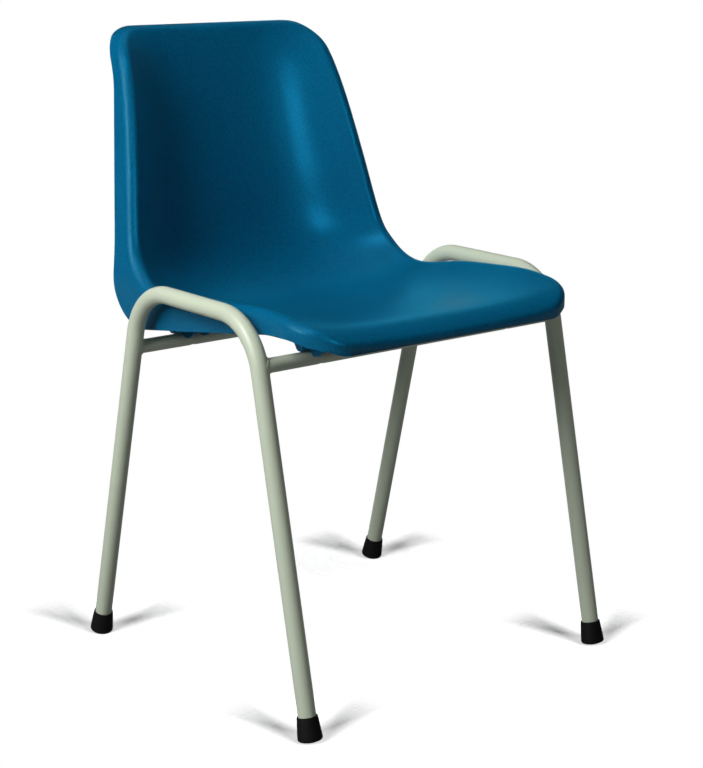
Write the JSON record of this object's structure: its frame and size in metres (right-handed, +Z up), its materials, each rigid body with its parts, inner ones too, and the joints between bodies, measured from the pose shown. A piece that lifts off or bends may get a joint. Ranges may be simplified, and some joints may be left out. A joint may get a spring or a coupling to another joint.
{
  "type": "bucket seat stacking chair",
  "caption": "Stacking chair: a dished one-piece plastic bucket seat with a rolled rim, screwed to a bent tubular steel frame with cross tubes and rubber ferrules.",
  "frame": {"origin": "on the floor, at the middle of the whole chair's bounding box", "axes": "+Z up; the sitter faces -Y; -X is the sitter's right; X = 0 is the plane of symmetry"},
  "size_m": [0.5136, 0.5412, 0.808],
  "materials": {
    "shell_plastic": "fine moulded grain, satin",
    "frame_paint": "satin stoving paint",
    "ferrule_rubber": "matt",
    "screw_steel": "zinc plated"
  },
  "bodies": {
    "root": {"seat_shell": "shell_plastic", "right_side_frame": "frame_paint", "left_side_frame": "frame_paint", "front_cross_tube": "frame_paint", "rear_cross_tube": "frame_paint", "weld_beads": "frame_paint", "front_right_ferrule": "ferrule_rubber", "front_left_ferrule": "ferrule_rubber", "rear_right_ferrule": "ferrule_rubber", "rear_left_ferrule": "ferrule_rubber", "seat_screws": "screw_steel"}
  },
  "joints": []
}
